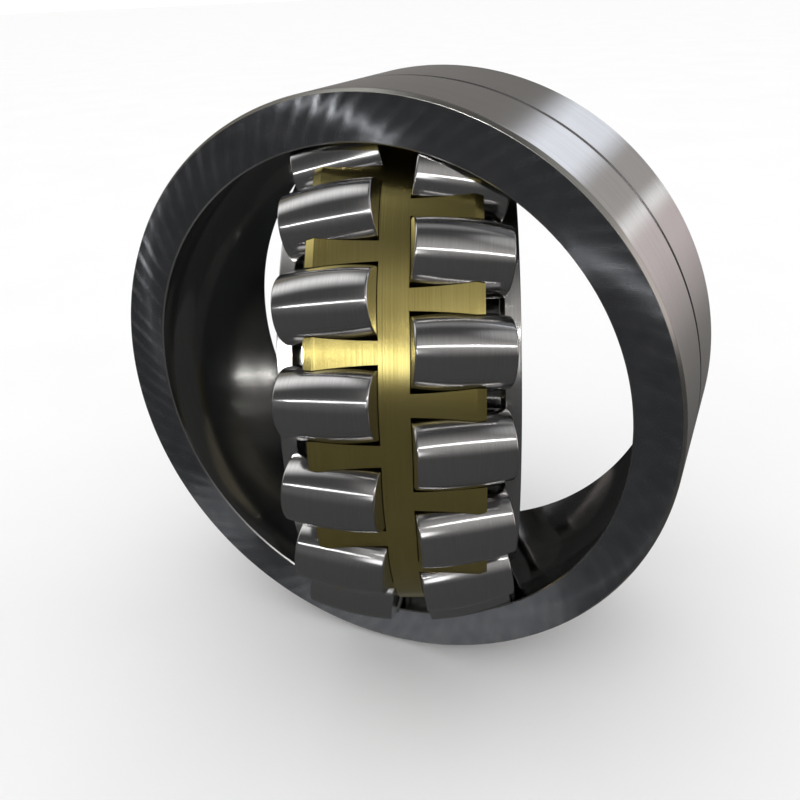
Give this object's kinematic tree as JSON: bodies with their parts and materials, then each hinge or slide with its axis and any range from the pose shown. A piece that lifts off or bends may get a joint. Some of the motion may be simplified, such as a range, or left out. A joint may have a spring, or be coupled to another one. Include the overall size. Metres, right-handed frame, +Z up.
{
  "type": "spherical roller bearing",
  "caption": "Self-aligning roller bearing with a spherical outer raceway, barrel rollers and a machined brass cage, its inner assembly swung out.",
  "frame": {"origin": "centre of the bearing, on the outer ring's axis at the middle of its width", "axes": "+Y along the outer ring's axis from its front face to its back face, +Z up along the axis that the inner assembly swings about"},
  "size_m": [0.4999, 0.4559, 0.5],
  "materials": {
    "ring_steel": "ground bearing steel",
    "roller_steel": "superfinished bearing steel",
    "cage_brass": "machined brass",
    "guide_iron": "machined cast iron"
  },
  "bodies": {
    "outer_ring": {"outer_ring": "ring_steel"},
    "inner_ring": {"inner_ring": "ring_steel"},
    "guide_ring": {"guide_ring": "guide_iron"},
    "cage": {"cage": "cage_brass"},
    "rear_roller_01": {"rear_roller_01": "roller_steel"},
    "rear_roller_02": {"rear_roller_02": "roller_steel"},
    "rear_roller_03": {"rear_roller_03": "roller_steel"},
    "rear_roller_04": {"rear_roller_04": "roller_steel"},
    "rear_roller_05": {"rear_roller_05": "roller_steel"},
    "rear_roller_06": {"rear_roller_06": "roller_steel"},
    "rear_roller_07": {"rear_roller_07": "roller_steel"},
    "rear_roller_08": {"rear_roller_08": "roller_steel"},
    "rear_roller_09": {"rear_roller_09": "roller_steel"},
    "rear_roller_10": {"rear_roller_10": "roller_steel"},
    "rear_roller_11": {"rear_roller_11": "roller_steel"},
    "rear_roller_12": {"rear_roller_12": "roller_steel"},
    "rear_roller_13": {"rear_roller_13": "roller_steel"},
    "rear_roller_14": {"rear_roller_14": "roller_steel"},
    "rear_roller_15": {"rear_roller_15": "roller_steel"},
    "rear_roller_16": {"rear_roller_16": "roller_steel"},
    "rear_roller_17": {"rear_roller_17": "roller_steel"},
    "rear_roller_18": {"rear_roller_18": "roller_steel"},
    "front_roller_01": {"front_roller_01": "roller_steel"},
    "front_roller_02": {"front_roller_02": "roller_steel"},
    "front_roller_03": {"front_roller_03": "roller_steel"},
    "front_roller_04": {"front_roller_04": "roller_steel"},
    "front_roller_05": {"front_roller_05": "roller_steel"},
    "front_roller_06": {"front_roller_06": "roller_steel"},
    "front_roller_07": {"front_roller_07": "roller_steel"},
    "front_roller_08": {"front_roller_08": "roller_steel"},
    "front_roller_09": {"front_roller_09": "roller_steel"},
    "front_roller_10": {"front_roller_10": "roller_steel"},
    "front_roller_11": {"front_roller_11": "roller_steel"},
    "front_roller_12": {"front_roller_12": "roller_steel"},
    "front_roller_13": {"front_roller_13": "roller_steel"},
    "front_roller_14": {"front_roller_14": "roller_steel"},
    "front_roller_15": {"front_roller_15": "roller_steel"},
    "front_roller_16": {"front_roller_16": "roller_steel"},
    "front_roller_17": {"front_roller_17": "roller_steel"},
    "front_roller_18": {"front_roller_18": "roller_steel"}
  },
  "joints": [
    {"name": "swivel", "type": "hinge", "parent": "outer_ring", "child": "guide_ring", "pos_m": [0, 0, 0], "axis": [0, 0, 1], "range_deg": [-19.4, 160.6]},
    {"name": "inner_spin", "type": "hinge", "parent": "guide_ring", "child": "inner_ring", "pos_m": [0, 0, 0], "axis": [0.9432, 0.3322, 0], "continuous": true},
    {"name": "cage_orbit", "type": "hinge", "parent": "guide_ring", "child": "cage", "pos_m": [0, 0, 0], "axis": [0.9432, 0.3322, 0], "continuous": true},
    {"name": "rear_roller_01_spin", "type": "hinge", "parent": "cage", "child": "rear_roller_01", "pos_m": [0.02288, -0.19885, -0.01467], "axis": [0.9932, 0.1155, -0.0166], "continuous": true},
    {"name": "rear_roller_02_spin", "type": "hinge", "parent": "cage", "child": "rear_roller_02", "pos_m": [0.01731, -0.18301, -0.08054], "axis": [0.9869, 0.1335, -0.0912], "continuous": true},
    {"name": "rear_roller_03_spin", "type": "hinge", "parent": "cage", "child": "rear_roller_03", "pos_m": [0.00459, -0.14689, -0.13669], "axis": [0.9725, 0.1743, -0.1547], "continuous": true},
    {"name": "rear_roller_04_spin", "type": "hinge", "parent": "cage", "child": "rear_roller_04", "pos_m": [-0.01375, -0.09482, -0.17635], "axis": [0.9517, 0.2333, -0.1996], "continuous": true},
    {"name": "rear_roller_05_spin", "type": "hinge", "parent": "cage", "child": "rear_roller_05", "pos_m": [-0.03548, -0.0331, -0.19474], "axis": [0.9271, 0.3032, -0.2205], "continuous": true},
    {"name": "rear_roller_06_spin", "type": "hinge", "parent": "cage", "child": "rear_roller_06", "pos_m": [-0.058, 0.03083, -0.18965], "axis": [0.9016, 0.3755, -0.2147], "continuous": true},
    {"name": "rear_roller_07_spin", "type": "hinge", "parent": "cage", "child": "rear_roller_07", "pos_m": [-0.07857, 0.08926, -0.16168], "axis": [0.8783, 0.4417, -0.183], "continuous": true},
    {"name": "rear_roller_08_spin", "type": "hinge", "parent": "cage", "child": "rear_roller_08", "pos_m": [-0.09473, 0.13514, -0.11421], "axis": [0.86, 0.4936, -0.1293], "continuous": true},
    {"name": "rear_roller_09_spin", "type": "hinge", "parent": "cage", "child": "rear_roller_09", "pos_m": [-0.10452, 0.16294, -0.05296], "axis": [0.8489, 0.5251, -0.06], "continuous": true},
    {"name": "rear_roller_10_spin", "type": "hinge", "parent": "cage", "child": "rear_roller_10", "pos_m": [-0.10677, 0.16931, 0.01467], "axis": [0.8464, 0.5323, 0.0166], "continuous": true},
    {"name": "rear_roller_11_spin", "type": "hinge", "parent": "cage", "child": "rear_roller_11", "pos_m": [-0.10119, 0.15348, 0.08054], "axis": [0.8527, 0.5144, 0.0912], "continuous": true},
    {"name": "rear_roller_12_spin", "type": "hinge", "parent": "cage", "child": "rear_roller_12", "pos_m": [-0.08847, 0.11735, 0.13669], "axis": [0.8671, 0.4735, 0.1547], "continuous": true},
    {"name": "rear_roller_13_spin", "type": "hinge", "parent": "cage", "child": "rear_roller_13", "pos_m": [-0.07013, 0.06528, 0.17635], "axis": [0.8879, 0.4145, 0.1996], "continuous": true},
    {"name": "rear_roller_14_spin", "type": "hinge", "parent": "cage", "child": "rear_roller_14", "pos_m": [-0.0484, 0.00356, 0.19474], "axis": [0.9125, 0.3447, 0.2205], "continuous": true},
    {"name": "rear_roller_15_spin", "type": "hinge", "parent": "cage", "child": "rear_roller_15", "pos_m": [-0.02588, -0.06037, 0.18965], "axis": [0.938, 0.2723, 0.2147], "continuous": true},
    {"name": "rear_roller_16_spin", "type": "hinge", "parent": "cage", "child": "rear_roller_16", "pos_m": [-0.00531, -0.1188, 0.16168], "axis": [0.9613, 0.2061, 0.183], "continuous": true},
    {"name": "rear_roller_17_spin", "type": "hinge", "parent": "cage", "child": "rear_roller_17", "pos_m": [0.01085, -0.16468, 0.11421], "axis": [0.9795, 0.1542, 0.1293], "continuous": true},
    {"name": "rear_roller_18_spin", "type": "hinge", "parent": "cage", "child": "rear_roller_18", "pos_m": [0.02064, -0.19248, 0.05296], "axis": [0.9906, 0.1227, 0.06], "continuous": true},
    {"name": "front_roller_01_spin", "type": "hinge", "parent": "cage", "child": "front_roller_01", "pos_m": [0.10493, -0.16411, -0.04834], "axis": [0.8485, 0.5264, 0.0547], "continuous": true},
    {"name": "front_roller_02_spin", "type": "hinge", "parent": "cage", "child": "front_roller_02", "pos_m": [0.09564, -0.13773, -0.11029], "axis": [0.859, 0.4965, 0.1248], "continuous": true},
    {"name": "front_roller_03_spin", "type": "hinge", "parent": "cage", "child": "front_roller_03", "pos_m": [0.07988, -0.09295, -0.15893], "axis": [0.8768, 0.4458, 0.1799], "continuous": true},
    {"name": "front_roller_04_spin", "type": "hinge", "parent": "cage", "child": "front_roller_04", "pos_m": [0.05953, -0.03518, -0.18841], "axis": [0.8999, 0.3805, 0.2133], "continuous": true},
    {"name": "front_roller_05_spin", "type": "hinge", "parent": "cage", "child": "front_roller_05", "pos_m": [0.03707, 0.02861, -0.19516], "axis": [0.9253, 0.3082, 0.2209], "continuous": true},
    {"name": "front_roller_06_spin", "type": "hinge", "parent": "cage", "child": "front_roller_06", "pos_m": [0.01519, 0.09074, -0.17837], "axis": [0.9501, 0.2379, 0.2019], "continuous": true},
    {"name": "front_roller_07_spin", "type": "hinge", "parent": "cage", "child": "front_roller_07", "pos_m": [-0.00346, 0.1437, -0.14007], "axis": [0.9712, 0.178, 0.1586], "continuous": true},
    {"name": "front_roller_08_spin", "type": "hinge", "parent": "cage", "child": "front_roller_08", "pos_m": [-0.01664, 0.18111, -0.08487], "axis": [0.9861, 0.1356, 0.0961], "continuous": true},
    {"name": "front_roller_09_spin", "type": "hinge", "parent": "cage", "child": "front_roller_09", "pos_m": [-0.02275, 0.19846, -0.01944], "axis": [0.993, 0.116, 0.022], "continuous": true},
    {"name": "front_roller_10_spin", "type": "hinge", "parent": "cage", "child": "front_roller_10", "pos_m": [-0.02105, 0.19365, 0.04834], "axis": [0.9911, 0.1214, -0.0547], "continuous": true},
    {"name": "front_roller_11_spin", "type": "hinge", "parent": "cage", "child": "front_roller_11", "pos_m": [-0.01176, 0.16727, 0.11029], "axis": [0.9806, 0.1513, -0.1248], "continuous": true},
    {"name": "front_roller_12_spin", "type": "hinge", "parent": "cage", "child": "front_roller_12", "pos_m": [0.00401, 0.12249, 0.15893], "axis": [0.9627, 0.202, -0.1799], "continuous": true},
    {"name": "front_roller_13_spin", "type": "hinge", "parent": "cage", "child": "front_roller_13", "pos_m": [0.02435, 0.06472, 0.18841], "axis": [0.9397, 0.2674, -0.2133], "continuous": true},
    {"name": "front_roller_14_spin", "type": "hinge", "parent": "cage", "child": "front_roller_14", "pos_m": [0.04681, 0.00093, 0.19516], "axis": [0.9143, 0.3396, -0.2209], "continuous": true},
    {"name": "front_roller_15_spin", "type": "hinge", "parent": "cage", "child": "front_roller_15", "pos_m": [0.06869, -0.0612, 0.17837], "axis": [0.8895, 0.4099, -0.2019], "continuous": true},
    {"name": "front_roller_16_spin", "type": "hinge", "parent": "cage", "child": "front_roller_16", "pos_m": [0.08734, -0.11416, 0.14007], "axis": [0.8684, 0.4699, -0.1586], "continuous": true},
    {"name": "front_roller_17_spin", "type": "hinge", "parent": "cage", "child": "front_roller_17", "pos_m": [0.10052, -0.15157, 0.08487], "axis": [0.8535, 0.5122, -0.0961], "continuous": true},
    {"name": "front_roller_18_spin", "type": "hinge", "parent": "cage", "child": "front_roller_18", "pos_m": [0.10663, -0.16892, 0.01944], "axis": [0.8466, 0.5318, -0.022], "continuous": true}
  ],
  "couplings": [
    {"joint": "cage_orbit", "follows": "inner_spin", "ratio": 0.43024},
    {"joint": "rear_roller_01_spin", "follows": "inner_spin", "ratio": -3.4268},
    {"joint": "rear_roller_02_spin", "follows": "inner_spin", "ratio": -3.4268},
    {"joint": "rear_roller_03_spin", "follows": "inner_spin", "ratio": -3.4268},
    {"joint": "rear_roller_04_spin", "follows": "inner_spin", "ratio": -3.4268},
    {"joint": "rear_roller_05_spin", "follows": "inner_spin", "ratio": -3.4268},
    {"joint": "rear_roller_06_spin", "follows": "inner_spin", "ratio": -3.4268},
    {"joint": "rear_roller_07_spin", "follows": "inner_spin", "ratio": -3.4268},
    {"joint": "rear_roller_08_spin", "follows": "inner_spin", "ratio": -3.4268},
    {"joint": "rear_roller_09_spin", "follows": "inner_spin", "ratio": -3.4268},
    {"joint": "rear_roller_10_spin", "follows": "inner_spin", "ratio": -3.4268},
    {"joint": "rear_roller_11_spin", "follows": "inner_spin", "ratio": -3.4268},
    {"joint": "rear_roller_12_spin", "follows": "inner_spin", "ratio": -3.4268},
    {"joint": "rear_roller_13_spin", "follows": "inner_spin", "ratio": -3.4268},
    {"joint": "rear_roller_14_spin", "follows": "inner_spin", "ratio": -3.4268},
    {"joint": "rear_roller_15_spin", "follows": "inner_spin", "ratio": -3.4268},
    {"joint": "rear_roller_16_spin", "follows": "inner_spin", "ratio": -3.4268},
    {"joint": "rear_roller_17_spin", "follows": "inner_spin", "ratio": -3.4268},
    {"joint": "rear_roller_18_spin", "follows": "inner_spin", "ratio": -3.4268},
    {"joint": "front_roller_01_spin", "follows": "inner_spin", "ratio": -3.4268},
    {"joint": "front_roller_02_spin", "follows": "inner_spin", "ratio": -3.4268},
    {"joint": "front_roller_03_spin", "follows": "inner_spin", "ratio": -3.4268},
    {"joint": "front_roller_04_spin", "follows": "inner_spin", "ratio": -3.4268},
    {"joint": "front_roller_05_spin", "follows": "inner_spin", "ratio": -3.4268},
    {"joint": "front_roller_06_spin", "follows": "inner_spin", "ratio": -3.4268},
    {"joint": "front_roller_07_spin", "follows": "inner_spin", "ratio": -3.4268},
    {"joint": "front_roller_08_spin", "follows": "inner_spin", "ratio": -3.4268},
    {"joint": "front_roller_09_spin", "follows": "inner_spin", "ratio": -3.4268},
    {"joint": "front_roller_10_spin", "follows": "inner_spin", "ratio": -3.4268},
    {"joint": "front_roller_11_spin", "follows": "inner_spin", "ratio": -3.4268},
    {"joint": "front_roller_12_spin", "follows": "inner_spin", "ratio": -3.4268},
    {"joint": "front_roller_13_spin", "follows": "inner_spin", "ratio": -3.4268},
    {"joint": "front_roller_14_spin", "follows": "inner_spin", "ratio": -3.4268},
    {"joint": "front_roller_15_spin", "follows": "inner_spin", "ratio": -3.4268},
    {"joint": "front_roller_16_spin", "follows": "inner_spin", "ratio": -3.4268},
    {"joint": "front_roller_17_spin", "follows": "inner_spin", "ratio": -3.4268},
    {"joint": "front_roller_18_spin", "follows": "inner_spin", "ratio": -3.4268}
  ]
}
